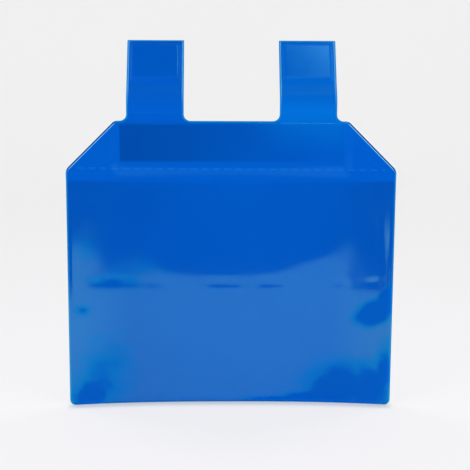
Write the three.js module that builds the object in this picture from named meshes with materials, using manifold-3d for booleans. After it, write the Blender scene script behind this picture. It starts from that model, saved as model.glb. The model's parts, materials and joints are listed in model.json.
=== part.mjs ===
// A magnetic display pocket for a landscape sheet of paper. Two welded sheets of blue PVC make the
// header and two straps, with flexible magnets sealed between them, and a clear film welded to the back
// sheet on three edges makes the pocket. The straps fold back over a wire, and their magnets hold on the
// header's magnet. Each strap bends at a row of hinges that stand for its flexible stretch.
//
// Millimetres, +Z up, the film faces -Y. The origin is on the header's flat rear face, behind the centre
// of its magnet.

import * as THREE from "three";
import { toCreasedNormals } from "three/addons/utils/BufferGeometryUtils.js";
import Module from "manifold-3d";

const wasm = await Module();
wasm.setup();

// Sheets, magnets and the room between them
const SKIN = 0.5; // blue PVC sheet
const FILM = 0.3; // clear window film
const MAGNET = 1.5; // every magnet's thickness
const WELD_GAP = 0.1; // between two sheets that are welded together
const MAGNET_GAP = 0.15; // between a magnet and the sheet on each side of it
const MAGNET_EDGE_GAP = 0.3; // flat of the front sheet past each edge of a magnet

// Body outline
const BODY_WIDTH = 320;
const BODY_HEIGHT = 285;
const SHOULDER_RADIUS = 9; // where the 45 degree cut at each top corner meets the side
const CROWN_RADIUS = 7; // and where it meets the top edge
const FOOT_RADIUS = 6; // bottom corners
const BOTTOM_BOW = 10; // how far the bottom corners stand forward of the bottom edge's middle
const BOW_POWER = 2.5; // the bow is flat in the middle and steep towards the sides

// Header
const TOP_ABOVE_ORIGIN = 21; // top edge above the centre of the header magnet
const MOUTH_BELOW_ORIGIN = 37.5; // the header front skin's free lower edge
const HEADER_MAGNET_WIDTH = 215;
const HEADER_MAGNET_HEIGHT = 36;
const CROWN_MARGIN = 5; // top edge past each end of the magnet, up to the cut
const HEADER_SLOPE_SIDE = 12; // run in which the front skin comes down beside the magnet
const HEADER_SLOPE_BELOW = 7; // and below it
const HEADER_SLOPE_ABOVE = 1.8; // and above it
const HEADER_RIM = 0.9; // flat welded rim left along the top edge

// Window film
const FILM_GAP = 0.5; // between the header front skin's lower edge and the film's top edge
const WELD_WIDTH = 4; // flat welded rim of the film
const MOUTH_GAPE = 7.5; // how far the film's top edge stands off the back skin
const BELLY = 9.5; // how far its fullest point stands off
const BELLY_DEPTH = 95; // fullest point below the mouth
const BELLY_POWER = 2.6; // the belly is flat in the middle and steep beside the welds
const CREASE_DROP = 104; // fold line below the mouth
const CREASE_DEPTH = 0.8;
const CREASE_REACH = 7; // half the width of the groove at the fold line

// Straps
const STRAP_WIDTH = 55;
const STRAP_CENTRE = 73.5; // from the middle of the pocket
const STRAP_TIP_RADIUS = 2;
const STRAP_ROOT_RADIUS = 6.5; // where a strap meets the top edge
const STRAP_MAGNET_WIDTH = 42;
const STRAP_MAGNET_HEIGHT = 34;
const STRAP_MAGNET_TO_TIP = 6;
const PAD_SLOPE_SIDE = 4.5; // run in which the front skin comes down beside the strap magnet
const PAD_SLOPE_END = 2.8; // and at its two ends
const PAD_RIM = 0.6; // least flat welded rim beside those slopes

// Bending of the straps
const LOOP_START = 14.5; // first hinge above the top edge
const LOOP_PITCH = 5.6; // from one hinge of the loop to the next
const LOOP_HINGES = 3;
const CLOSED_TURN = 180; // degrees that the pad has turned, from straight, when the strap is closed
const LOOP_FOLD = 70; // of which each hinge of the loop turns this much and the pad's hinge the rest
const PAD_HINGE_GAP = 3.5; // from the pad's hinge to the strap magnet
const REST_LEAN = 32; // degrees that the pad leans back at rest
const HINGE_GAP = 0.3; // between two stretches of strap
const BEVEL_SPARE = 1; // degrees left between two bevelled ends when the strap is closed

const TOP = TOP_ABOVE_ORIGIN;
const BOTTOM = TOP - BODY_HEIGHT;
const MOUTH = -MOUTH_BELOW_ORIGIN;
const CROWN_HALF = HEADER_MAGNET_WIDTH / 2 + CROWN_MARGIN; // the top edge's sharp end, from the middle
const SHOULDER = TOP - (BODY_WIDTH / 2 - CROWN_HALF);
const FRONT_REAR = -SKIN - WELD_GAP; // rear face of the front sheets, where they are welded
const TENT = 2 * MAGNET_GAP + MAGNET - WELD_GAP; // how far a front skin is lifted over a magnet
const MID_PLANE = -SKIN - WELD_GAP / 2; // between the two skins, where the straps bend
const REST_SHARE = REST_LEAN / CLOSED_TURN; // share of the whole fold at rest

const radians = (degrees) => (degrees * Math.PI) / 180;
const between = (from, to, count) =>
  Array.from({ length: count + 1 }, (_, i) => from + ((to - from) * i) / count);

// A closed strap's magnet lies behind the header's, centre on centre. That sets the stretch from the last
// hinge of the loop to the pad's hinge, and with it the strap's length from the top edge to the tip.
const loopRise = Array.from({ length: LOOP_HINGES - 1 }, (_, i) =>
  Math.cos(radians((i + 1) * LOOP_FOLD)),
).reduce((sum, rise) => sum + LOOP_PITCH * rise, 0);
const closedDrop = TOP + LOOP_START + loopRise - PAD_HINGE_GAP - STRAP_MAGNET_HEIGHT / 2;
const LOOP_TO_PAD = closedDrop / -Math.cos(radians(LOOP_HINGES * LOOP_FOLD));
const PAD_HINGE = LOOP_START + (LOOP_HINGES - 1) * LOOP_PITCH + LOOP_TO_PAD;
const PAD_START = PAD_HINGE + PAD_HINGE_GAP; // the magnet's lower edge
const STRAP_LENGTH = PAD_START + STRAP_MAGNET_HEIGHT + STRAP_MAGNET_TO_TIP;

// The rows of a sheet from its lower edge to its upper one, without those that nearly coincide
const MERGE = 0.02;
function sheetRows(low, high, rows) {
  const inside = rows.filter((z) => z > low + MERGE && z < high - MERGE).sort((a, b) => a - b);
  return [low, ...inside.filter((z, i) => i === 0 || z - inside[i - 1] > MERGE), high];
}

// 1 up to `from`, 0 past `to`, smooth between
function fade(value, from, to) {
  const t = Math.min(Math.max((value - from) / (to - from), 0), 1);
  return 1 - t * t * (3 - 2 * t);
}

// Solids

const snap = (value) => Math.round(value * 1e4) / 1e4;

function solidOf(points, triangles) {
  return new wasm.Manifold(
    new wasm.Mesh({
      numProp: 3,
      vertProperties: new Float32Array(points.flat().map(snap)),
      triVerts: new Uint32Array(triangles.flat()),
    }),
  );
}

// A closed sheet on a grid. rows are heights, columns(z) gives the same number of x values at each
// height, and front and rear give y at a point.
function sheet(rows, columns, front, rear) {
  const grid = rows.flatMap((z) => columns(z).map((x) => [x, z]));
  const perRow = grid.length / rows.length;
  const points = [front, rear].flatMap((face) => grid.map(([x, z]) => [x, face(x, z), z]));
  const at = (i, j, side) => (side * rows.length + i) * perRow + j;
  const triangles = [];
  const quad = (a, b, c, d) => triangles.push([a, b, c], [a, c, d]);
  const last = rows.length - 1;
  const end = perRow - 1;
  for (let i = 0; i < last; i++) {
    for (let j = 0; j < end; j++) {
      quad(at(i, j, 0), at(i, j + 1, 0), at(i + 1, j + 1, 0), at(i + 1, j, 0));
      quad(at(i, j, 1), at(i + 1, j, 1), at(i + 1, j + 1, 1), at(i, j + 1, 1));
    }
    quad(at(i, 0, 0), at(i + 1, 0, 0), at(i + 1, 0, 1), at(i, 0, 1));
    quad(at(i + 1, end, 0), at(i, end, 0), at(i, end, 1), at(i + 1, end, 1));
  }
  for (let j = 0; j < end; j++) {
    quad(at(0, j + 1, 0), at(0, j, 0), at(0, j, 1), at(0, j + 1, 1));
    quad(at(last, j, 0), at(last, j + 1, 0), at(last, j + 1, 1), at(last, j, 1));
  }
  return solidOf(points, triangles);
}

// An outline drawn along the axes first and second, extruded along the axis `along`
function prism(outline, from, to, [along, first, second]) {
  const geometry = new THREE.ExtrudeGeometry(outline, {
    depth: to - from,
    bevelEnabled: false,
    curveSegments: 6,
  });
  geometry.translate(0, 0, from);
  geometry.applyMatrix4(new THREE.Matrix4().makeBasis(first, second, along));
  const position = geometry.getAttribute("position");
  const seen = new Map();
  const points = [];
  const corner = Array.from({ length: position.count }, (_, i) => {
    const point = [position.getX(i), position.getY(i), position.getZ(i)].map(snap);
    const key = point.join();
    if (!seen.has(key)) {
      seen.set(key, points.length);
      points.push(point);
    }
    return seen.get(key);
  });
  const triangles = [];
  for (let i = 0; i < corner.length; i += 3) triangles.push(corner.slice(i, i + 3));
  return solidOf(points, triangles);
}

const X = new THREE.Vector3(1, 0, 0);
const Y = new THREE.Vector3(0, 1, 0);
const Z = new THREE.Vector3(0, 0, 1);

function geometryOf(solid) {
  const { vertProperties, triVerts } = solid.getMesh();
  const geometry = new THREE.BufferGeometry();
  geometry.setAttribute("position", new THREE.BufferAttribute(vertProperties, 3));
  geometry.setIndex(new THREE.BufferAttribute(triVerts, 1));
  return toCreasedNormals(geometry, radians(30));
}

// Body outline

const arcHeights = (centre, radius, from, to) =>
  between(radians(from), radians(to), 4).map((angle) => centre + radius * Math.sin(angle));
const across = (radius, rise) => Math.sqrt(Math.max(radius ** 2 - rise ** 2, 0));

const SHOULDER_ARC = SHOULDER - SHOULDER_RADIUS * Math.tan(radians(22.5));
const CROWN_ARC = TOP - CROWN_RADIUS;
const FOOT_ARC = BOTTOM + FOOT_RADIUS;

// Half the body's width at height z
function bodyHalf(z) {
  const half = BODY_WIDTH / 2;
  if (z < FOOT_ARC) return half - FOOT_RADIUS + across(FOOT_RADIUS, FOOT_ARC - z);
  if (z < SHOULDER_ARC) return half;
  if (z < SHOULDER_ARC + SHOULDER_RADIUS * Math.SQRT1_2)
    return half - SHOULDER_RADIUS + across(SHOULDER_RADIUS, z - SHOULDER_ARC);
  if (z < CROWN_ARC + CROWN_RADIUS * Math.SQRT1_2) return half - (z - SHOULDER);
  const crownCentre = CROWN_HALF - CROWN_RADIUS * Math.tan(radians(22.5));
  return crownCentre + across(CROWN_RADIUS, z - CROWN_ARC);
}

const FOOT_ROWS = arcHeights(FOOT_ARC, FOOT_RADIUS, -90, 0);
const SHOULDER_ROWS = arcHeights(SHOULDER_ARC, SHOULDER_RADIUS, 0, 45);
const CROWN_ROWS = arcHeights(CROWN_ARC, CROWN_RADIUS, 45, 90);

// How far forward the body has curled at a point: nothing in the header, most at the bottom corners
function bow(x, z) {
  const down = Math.max(MOUTH - z, 0) / (MOUTH - BOTTOM);
  return BOTTOM_BOW * down * Math.abs((2 * x) / BODY_WIDTH) ** BOW_POWER;
}

// Where a strap leaves the top edge, with its root fillets, as far as its first hinge
function strapRoot(side, rear, front, overlap) {
  const half = STRAP_WIDTH / 2;
  const radius = STRAP_ROOT_RADIUS;
  const outline = new THREE.Shape();
  outline.moveTo(-half - radius, -overlap);
  outline.lineTo(half + radius, -overlap);
  outline.lineTo(half + radius, 0);
  outline.absarc(half + radius, radius, radius, -Math.PI / 2, -Math.PI, true);
  outline.lineTo(half, LOOP_START);
  outline.lineTo(-half, LOOP_START);
  outline.lineTo(-half, radius);
  outline.absarc(-half - radius, radius, radius, 0, -Math.PI / 2, true);
  const below = { at: -BODY_HEIGHT, fold: 0 };
  const cutter = stretchCutter(below, HINGES[0]).translate([0, MID_PLANE, 0]);
  const tab = prism(outline, -rear, -front, [Y.clone().negate(), X, Z]).intersect(cutter);
  return tab.translate([side * STRAP_CENTRE, 0, TOP]);
}

function withRoots(body, rear, front, overlap) {
  return [-1, 1].reduce((whole, side) => whole.add(strapRoot(side, rear, front, overlap)), body);
}

// Body sheets

// The back skin and the film share their columns, so that they lie evenly on each other at the welds.
// Both kinds of share run from the middle of a sheet, or its weld, and crowd where it curves most.
const PANE_SHARES = [0.13, 0.26, 0.39, 0.52, 0.64, 0.74, 0.82, 0.89, 0.95, 1];
const LOWER_FILM_SHARES = [0, 0.08, 0.2, 0.35, 0.52, 0.7, 0.86, 1];

function paneColumns(z) {
  const inside = bodyHalf(z) - WELD_WIDTH;
  const right = [...PANE_SHARES.map((share) => share * inside), bodyHalf(z)];
  return [...right.map((x) => -x).reverse(), 0, ...right];
}

function backSkin() {
  const rows = sheetRows(BOTTOM, TOP, [
    ...FOOT_ROWS,
    ...between(FOOT_ARC, MOUTH, 8),
    ...SHOULDER_ROWS,
    ...CROWN_ROWS,
  ]);
  const body = sheet(
    rows,
    paneColumns,
    (x, z) => -SKIN - bow(x, z),
    (x, z) => -bow(x, z),
  );
  return withRoots(body, 0, -SKIN, CROWN_RADIUS);
}

// The front skin lies on the back skin at its welds and stands over the magnet
function headerFrontSkin() {
  const flatHalf = HEADER_MAGNET_WIDTH / 2 + MAGNET_EDGE_GAP;
  const flatEnd = HEADER_MAGNET_HEIGHT / 2 + MAGNET_EDGE_GAP;
  const sideEnd = (z) => Math.min(flatHalf + HEADER_SLOPE_SIDE, bodyHalf(z) - HEADER_RIM);
  const slopeTop = Math.min(flatEnd + HEADER_SLOPE_ABOVE, TOP - HEADER_RIM);
  const tent = (x, z) =>
    TENT *
    fade(Math.abs(x), flatHalf, sideEnd(z)) *
    fade(z, flatEnd, slopeTop) *
    fade(-z, flatEnd, flatEnd + HEADER_SLOPE_BELOW);
  const rows = sheetRows(MOUTH, TOP, [
    ...between(-flatEnd - HEADER_SLOPE_BELOW, -flatEnd, 4),
    ...between(flatEnd, slopeTop, 4),
    ...SHOULDER_ROWS,
    ...CROWN_ROWS,
  ]);
  const columns = (z) => {
    const right = [flatHalf / 2, ...between(flatHalf, sideEnd(z), 4), bodyHalf(z)];
    return [...right.map((x) => -x).reverse(), 0, ...right];
  };
  const body = sheet(
    rows,
    columns,
    (x, z) => FRONT_REAR - SKIN - tent(x, z),
    (x, z) => FRONT_REAR - tent(x, z),
  );
  return withRoots(body, FRONT_REAR, FRONT_REAR - SKIN, TOP - slopeTop);
}

// The film's stand-off from the back skin: open at the mouth, fullest at the belly, none at the welds
function filmOffset(x, z) {
  const inside = bodyHalf(z) - WELD_WIDTH;
  const side = Math.min(Math.abs(x) / inside, 1);
  const top = MOUTH - FILM_GAP;
  const belly = MOUTH - BELLY_DEPTH;
  const weld = BOTTOM + WELD_WIDTH;
  const above = (z - belly) / (top - belly);
  const below = Math.min((belly - z) / (belly - weld), 1);
  const height =
    z > belly
      ? BELLY - (BELLY - MOUTH_GAPE) * above ** 2
      : BELLY * (1 - below ** BELLY_POWER);
  const crease = CREASE_DEPTH * Math.max(1 - Math.abs(MOUTH - CREASE_DROP - z) / CREASE_REACH, 0);
  return (height - crease) * (1 - side ** BELLY_POWER);
}

function windowFilm() {
  const top = MOUTH - FILM_GAP;
  const weld = BOTTOM + WELD_WIDTH;
  const crease = MOUTH - CREASE_DROP;
  const rows = sheetRows(BOTTOM, top, [
    ...FOOT_ROWS,
    ...LOWER_FILM_SHARES.map((share) => weld + (crease - CREASE_REACH - weld) * share),
    crease,
    ...between(crease + CREASE_REACH, top, 8),
    ...SHOULDER_ROWS,
  ]);
  const rear = (x, z) => FRONT_REAR - bow(x, z) - filmOffset(x, z);
  return sheet(rows, paneColumns, (x, z) => rear(x, z) - FILM, rear);
}

function headerMagnet() {
  const half = HEADER_MAGNET_WIDTH / 2;
  const rise = HEADER_MAGNET_HEIGHT / 2;
  const rear = -SKIN - MAGNET_GAP;
  return sheet(
    [-rise, rise],
    () => [-half, half],
    () => rear - MAGNET,
    () => rear,
  );
}

// Straps, made straight in their own frame: x across, y to the rear from the mid-plane, z from the top edge

// Each hinge's place, and the degrees it has turned when the strap is closed
const HINGES = [
  ...Array.from({ length: LOOP_HINGES }, (_, i) => ({
    at: LOOP_START + i * LOOP_PITCH,
    fold: LOOP_FOLD,
  })),
  { at: PAD_HINGE, fold: CLOSED_TURN - LOOP_HINGES * LOOP_FOLD },
];

function strapHalf(z) {
  const arc = STRAP_LENGTH - STRAP_TIP_RADIUS;
  const half = STRAP_WIDTH / 2;
  return z < arc ? half : half - STRAP_TIP_RADIUS + across(STRAP_TIP_RADIUS, z - arc);
}

const TIP_ROWS = arcHeights(STRAP_LENGTH - STRAP_TIP_RADIUS, STRAP_TIP_RADIUS, 0, 90);

function strapBackSheet() {
  return sheet(
    [LOOP_START, ...TIP_ROWS],
    (z) => [-strapHalf(z), strapHalf(z)],
    () => WELD_GAP / 2,
    () => WELD_GAP / 2 + SKIN,
  );
}

function strapFrontSheet() {
  const flatHalf = STRAP_MAGNET_WIDTH / 2 + MAGNET_EDGE_GAP;
  const flatFrom = PAD_START - MAGNET_EDGE_GAP;
  const flatTo = PAD_START + STRAP_MAGNET_HEIGHT + MAGNET_EDGE_GAP;
  const sideEnd = (z) => Math.min(flatHalf + PAD_SLOPE_SIDE, strapHalf(z) - PAD_RIM);
  const tent = (x, z) =>
    TENT *
    fade(Math.abs(x), flatHalf, sideEnd(z)) *
    fade(z, flatTo, flatTo + PAD_SLOPE_END) *
    fade(-z, -flatFrom, PAD_SLOPE_END - flatFrom);
  const rows = sheetRows(LOOP_START, STRAP_LENGTH, [
    ...between(flatFrom - PAD_SLOPE_END, flatFrom, 4),
    ...between(flatTo, flatTo + PAD_SLOPE_END, 4),
    ...TIP_ROWS,
  ]);
  const columns = (z) => {
    const right = [...between(flatHalf, sideEnd(z), 4), strapHalf(z)];
    return [...right.map((x) => -x).reverse(), 0, ...right];
  };
  const rear = (x, z) => -WELD_GAP / 2 - tent(x, z);
  return sheet(rows, columns, (x, z) => rear(x, z) - SKIN, rear);
}

// The stretch of strap between two hinges. Its ends are bevelled from the mid-plane on the side that
// closes as the hinge folds.
function stretchCutter(start, end) {
  const rearReach = SKIN + WELD_GAP;
  const frontReach = 2 * SKIN + WELD_GAP + TENT;
  const setback = (reach, closing) =>
    HINGE_GAP / 2 + (closing > 0 ? reach * Math.tan(radians(closing / 2 + BEVEL_SPARE)) : 0);
  const outline = new THREE.Shape();
  outline.moveTo(0, start.at + HINGE_GAP / 2);
  outline.lineTo(rearReach, start.at + setback(rearReach, start.fold));
  outline.lineTo(rearReach, end.at - setback(rearReach, end.fold));
  outline.lineTo(0, end.at - HINGE_GAP / 2);
  outline.lineTo(-frontReach, end.at - setback(frontReach, -end.fold));
  outline.lineTo(-frontReach, start.at + setback(frontReach, -start.fold));
  return prism(outline, -STRAP_WIDTH, STRAP_WIDTH, [X, Y, Z]);
}

function strapMagnet() {
  const half = STRAP_MAGNET_WIDTH / 2;
  const rear = WELD_GAP / 2 - MAGNET_GAP;
  return sheet(
    [PAD_START, PAD_START + STRAP_MAGNET_HEIGHT],
    () => [-half, half],
    () => rear - MAGNET,
    () => rear,
  );
}

// Assembly

const bluePvc = { color: 0x0459c0, roughness: 0.35, metalness: 0 };
const clearFilm = { color: 0xdbe9f7, roughness: 0.08, metalness: 0, transparent: true, opacity: 0.3 };
const magnetRubber = { color: 0x2b2725, roughness: 0.75, metalness: 0 };

function named(name, solid, finish) {
  const mesh = new THREE.Mesh(geometryOf(solid), new THREE.MeshStandardMaterial(finish));
  mesh.name = name;
  return mesh;
}

// A strap as a chain of groups, each turned at its hinge by its share of the rest lean
function strap(label, side) {
  const root = new THREE.Group();
  root.position.set(side * STRAP_CENTRE, MID_PLANE, TOP);
  const back = strapBackSheet();
  const front = strapFrontSheet();
  const beyond = { at: 2 * STRAP_LENGTH, fold: 0 };
  let parent = root;
  let parentAt = 0;
  HINGES.forEach((hinge, i) => {
    const stretch = new THREE.Group();
    stretch.position.z = hinge.at - parentAt;
    stretch.rotation.x = -radians(hinge.fold * REST_SHARE);
    const cutter = stretchCutter(hinge, HINGES[i + 1] ?? beyond);
    const part = i < HINGES.length - 1 ? `bend_${i + 1}` : "pad";
    const place = [0, 0, -hinge.at];
    stretch.add(
      named(`${label}_strap_${part}_back`, back.intersect(cutter).translate(place), bluePvc),
      named(`${label}_strap_${part}_front`, front.intersect(cutter).translate(place), bluePvc),
    );
    if (part === "pad")
      stretch.add(named(`${label}_strap_magnet`, strapMagnet().translate(place), magnetRubber));
    parent.add(stretch);
    parent = stretch;
    parentAt = hinge.at;
  });
  return root;
}

const pocket = new THREE.Group();
pocket.add(
  named("back_skin", backSkin(), bluePvc),
  named("header_front_skin", headerFrontSkin(), bluePvc),
  named("window_film", windowFilm(), clearFilm),
  named("header_magnet", headerMagnet(), magnetRubber),
  strap("left", -1),
  strap("right", 1),
);

export default pocket;
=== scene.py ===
"""Looks for a magnetic display pocket: two welded sheets of blue PVC with magnets sealed between them
in the header and the straps, and a clear film welded to the back sheet on three edges.

Lengths are millimetres until a mesh is made. x runs to the right, z up, and -y out of the film. Along
a strap, s is the length from the header's top edge. Depth is across the sheets, towards the rear.
"""
import json
from math import atan2, cos, radians, sin, tan

import bpy
import numpy as np
from mathutils import Matrix, Vector
from mathutils.geometry import delaunay_2d_cdt

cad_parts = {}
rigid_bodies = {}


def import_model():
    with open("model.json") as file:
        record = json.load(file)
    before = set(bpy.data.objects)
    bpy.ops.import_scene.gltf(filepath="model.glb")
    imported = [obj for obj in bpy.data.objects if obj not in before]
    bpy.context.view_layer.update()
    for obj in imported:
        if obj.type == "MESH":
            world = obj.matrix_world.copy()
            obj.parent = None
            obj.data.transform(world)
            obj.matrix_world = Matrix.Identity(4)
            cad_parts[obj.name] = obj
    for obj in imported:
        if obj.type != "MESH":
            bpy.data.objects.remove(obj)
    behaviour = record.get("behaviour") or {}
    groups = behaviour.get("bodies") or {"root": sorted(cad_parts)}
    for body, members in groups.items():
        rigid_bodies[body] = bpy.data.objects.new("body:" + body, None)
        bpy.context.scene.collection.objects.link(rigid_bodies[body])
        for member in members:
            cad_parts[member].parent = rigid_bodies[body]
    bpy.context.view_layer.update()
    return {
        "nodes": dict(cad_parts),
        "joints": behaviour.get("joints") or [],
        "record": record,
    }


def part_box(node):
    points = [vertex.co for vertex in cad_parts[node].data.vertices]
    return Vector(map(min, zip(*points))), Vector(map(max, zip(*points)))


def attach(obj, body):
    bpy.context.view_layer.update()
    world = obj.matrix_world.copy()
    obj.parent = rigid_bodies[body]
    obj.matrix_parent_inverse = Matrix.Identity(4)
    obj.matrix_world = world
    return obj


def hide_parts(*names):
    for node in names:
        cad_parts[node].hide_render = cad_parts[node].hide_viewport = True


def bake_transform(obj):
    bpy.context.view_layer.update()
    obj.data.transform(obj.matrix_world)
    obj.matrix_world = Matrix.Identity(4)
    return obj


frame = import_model()

MM = 0.001


def node_box(node):
    low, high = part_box(node)
    return np.array(low) / MM, np.array(high) / MM


# Sizes of the model, from its nodes and joints where they give them

SKIN, FILM, WELD_GAP, MAGNET_GAP, MAGNET = 0.5, 0.3, 0.1, 0.15, 1.5
TOP = 21.0  # the header's top edge
SHOULDER_RADIUS, CROWN_RADIUS, FOOT_RADIUS, ROOT_RADIUS, TIP_RADIUS = 9.0, 7.0, 6.0, 6.5, 1.0
CROWN_MARGIN = 5.0  # top edge past each end of the header's magnet
BOTTOM_BOW, BOW_POWER = 10.0, 2.5  # how far the bottom corners stand forward, and how steeply
MAGNET_EDGE_GAP = 0.3
HEADER_SLOPE_SIDE, HEADER_SLOPE_BELOW, HEADER_SLOPE_ABOVE = 12.0, 18.5, 1.8
PAD_SLOPE_SIDE, PAD_SLOPE_BELOW, PAD_SLOPE_ABOVE = 4.4, 9.0, 2.8
TENT = 2 * MAGNET_GAP + MAGNET - WELD_GAP  # how far a front sheet is lifted over a magnet
FRONT_REAR = -SKIN - WELD_GAP  # rear face of the front sheets at the welds
MID_PLANE = -SKIN - WELD_GAP / 2

back_low, back_high = node_box("back_skin")
_, film_high = node_box("window_film")
header_low, _ = node_box("header_front_skin")
_, magnet_high = node_box("header_magnet")
HALF_WIDTH, BOTTOM = back_high[0], back_low[2]
MOUTH, FILM_TOP = header_low[2], film_high[2]
CROWN_HALF = magnet_high[0] + CROWN_MARGIN
SHOULDER = TOP - (HALF_WIDTH - CROWN_HALF)


def strap_hinges(side):
    """Where the strap's hinges are along it, the turn that each has at rest, and the bodies that they
    join, from the pocket to the pad."""
    chain = [j for j in frame["joints"] if j["name"].startswith(side)]
    places = np.array([j["pos_m"][1:] for j in chain]) / MM
    steps = np.linalg.norm(np.diff(places, axis=0), axis=1)
    at = places[0][1] - TOP + np.concatenate([[0], np.cumsum(steps)])
    loop_rest = -chain[0]["range_deg"][0]
    ratio = {c["joint"]: c["ratio"] for c in frame["record"]["behaviour"]["couplings"]}
    turns = [radians(loop_rest * ratio.get(j["name"], 1)) for j in chain]
    return at, turns, [j["parent"] for j in chain] + [chain[-1]["child"]]


HINGES, REST_TURNS, _ = strap_hinges("left")
STRAP_CENTRE = -frame["joints"][0]["pos_m"][0] / MM
STRAP_HALF = 27.5
STRAP_MAGNET_HALF, STRAP_MAGNET_HEIGHT, STRAP_MAGNET_TO_TIP = 21.0, 34.0, 6.0
PAD_HINGE_GAP = 3.5
PAD_START = HINGES[-1] + PAD_HINGE_GAP  # the strap magnet's lower edge
STRAP_LENGTH = PAD_START + STRAP_MAGNET_HEIGHT + STRAP_MAGNET_TO_TIP
TAB = 8.0  # the body's sheets go this far up each strap

# Welds: a pressed edge, then a raised bead that runs along the whole outline
RIM_STEPS = np.array([0, 0.2, 0.4, 0.6, 0.8, 1.0, 1.2, 1.4, 1.6, 1.8, 2.1, 3.0])
PRESSED, PRESSED_WIDTH = 0.12, 0.7
BEAD, BEAD_AT, BEAD_HALF = 0.30, 1.1, 0.8


def smooth(value, start, end):
    t = np.clip((value - start) / (end - start), 0, 1)
    return t * t * (3 - 2 * t)


def weld_relief(d):
    """Height of the welded edge over the plain sheet, at a distance d inside the outline."""
    bead = BEAD * np.clip(1 - ((d - BEAD_AT) / BEAD_HALF) ** 2, 0, 1)
    return bead - PRESSED * (1 - smooth(d, PRESSED_WIDTH * 0.6, PRESSED_WIDTH))


# Flat layout of the sheets

ARC_STEPS = 8
EDGE_STEP = 5.0
LATTICE_GAP = 0.8  # least distance of the lattice's points from the bands
FAR_INSIDE = 99.0  # stands for the distance from the outline where no weld is near
SAME_POINT = 1e-6
SHARP = radians(50)  # a fold steeper than this is shaded as an edge
SET_IN = 0.02  # how far inside a rounded end the last row of its grid lies


def outline(corners, inset):
    """An open outline with rounded corners (x, z, radius), its inside to the left, moved inwards by
    inset."""
    p = np.array([c[:2] for c in corners], float)
    along = np.diff(p, axis=0)
    counts = np.maximum(1, np.round(np.linalg.norm(along, axis=1) / EDGE_STEP)).astype(int)
    along /= np.linalg.norm(along, axis=1)[:, None]
    left = np.stack([-along[:, 1], along[:, 0]], 1)
    stops = [[p[0] + inset * left[0]]]
    for i in range(1, len(p) - 1):
        a, b, n = along[i - 1], along[i], left[i - 1]
        corner = p[i] + inset * (n + left[i]) / (1 + n @ left[i])
        turn = atan2(a[0] * b[1] - a[1] * b[0], a @ b)
        radius = np.sign(turn) * (corners[i][2] - np.sign(turn) * inset)
        centre = corner - a * abs(radius) * tan(abs(turn) / 2) + radius * n
        arc = []
        for angle in np.linspace(0, turn, ARC_STEPS + 1):
            c, s = cos(angle), sin(angle)
            arc.append(centre - radius * np.array([c * n[0] - s * n[1], s * n[0] + c * n[1]]))
        stops.append(arc)
    stops.append([p[-1] + inset * left[-1]])
    points = []
    for i, count in enumerate(counts):
        start, end = stops[i][-1], stops[i + 1][0]
        points += stops[i][:-1] + [start + (end - start) * k / count for k in range(count)]
    return np.array(points + stops[-1])


def inside(points, polygon):
    """Which points lie inside the polygon."""
    x, z = points[:, :1], points[:, 1:]
    x0, z0 = polygon.T
    x1, z1 = np.roll(polygon, -1, axis=0).T
    with np.errstate(divide="ignore", invalid="ignore"):
        crossing = ((z0 > z) != (z1 > z)) & (x < (x1 - x0) * (z - z0) / (z1 - z0) + x0)
    return crossing.sum(axis=1) % 2 == 1


def cut_layout(outlines, walls, xs, zs):
    """A flat sheet. Bands along the outlines carry the weld, and a lattice of xs by zs fills the rest.
    walls says of the straight join after each outline whether it is an edge of the sheet or goes on in
    another. Gives points (x, z), their distance from the outline, faces, and the edges with a wall.
    """
    points, distance, faces, edges, inner, joins = [], [], [], [], [], []
    count = len(RIM_STEPS)
    for corners in outlines:
        rings = np.stack([outline(corners, d) for d in RIM_STEPS])
        base, n = sum(map(len, points)), rings.shape[1]
        at = lambda ring, i, base=base, n=n: base + ring * n + i
        points.append(rings.reshape(-1, 2))
        distance.append(np.repeat(RIM_STEPS, n))
        faces += [
            (at(k, i), at(k, i + 1), at(k + 1, i + 1), at(k + 1, i))
            for k in range(count - 1)
            for i in range(n - 1)
        ]
        edges += [(at(0, i), at(0, i + 1)) for i in range(n - 1)]
        inner.append([at(count - 1, i) for i in range(n)])
        joins.append(([at(k, n - 1) for k in range(count)], [at(k, 0) for k in range(count)]))
    flat = np.concatenate(points)
    polygon = []
    for i, ring in enumerate(inner):
        start, end = ring[-1], inner[(i + 1) % len(inner)][0]
        gap = flat[end] - flat[start]
        steps = max(1, round(np.linalg.norm(gap) / EDGE_STEP))
        extra = [flat[start] + gap * k / steps for k in range(1, steps)]
        first = len(flat)
        flat = np.concatenate([flat, np.array(extra).reshape(-1, 2)])
        join = [start, *range(first, first + len(extra)), end]
        polygon += ring[:-1] + join[:-1]
        if walls[i]:
            chain = joins[i][0] + join[1:-1] + joins[(i + 1) % len(inner)][1][::-1]
            edges += list(zip(chain[:-1], chain[1:]))
    border = flat[polygon]
    lattice = np.array([(x, z) for z in zs for x in xs])
    lattice = lattice[inside(lattice, border)]
    gaps = np.linalg.norm(lattice[:, None] - border[None], axis=2).min(axis=1)
    lattice = lattice[gaps > LATTICE_GAP]
    coords = [Vector(p) for p in np.concatenate([border, lattice])]
    loop = list(range(len(border)))
    ring_edges = list(zip(loop, loop[1:] + loop[:1]))
    made = delaunay_2d_cdt(coords, ring_edges, [loop], 1, SAME_POINT)
    index = [
        polygon[v[0]] if v[0] < len(border) else len(flat) + v[0] - len(border) for v in made[3]
    ]
    faces += [tuple(index[v] for v in face) for face in made[2]]
    flat = np.concatenate([flat, lattice])
    in_bands = np.concatenate(distance)
    distance = np.concatenate([in_bands, np.full(len(flat) - len(in_bands), FAR_INSIDE)])
    return flat, distance, faces, edges


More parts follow.
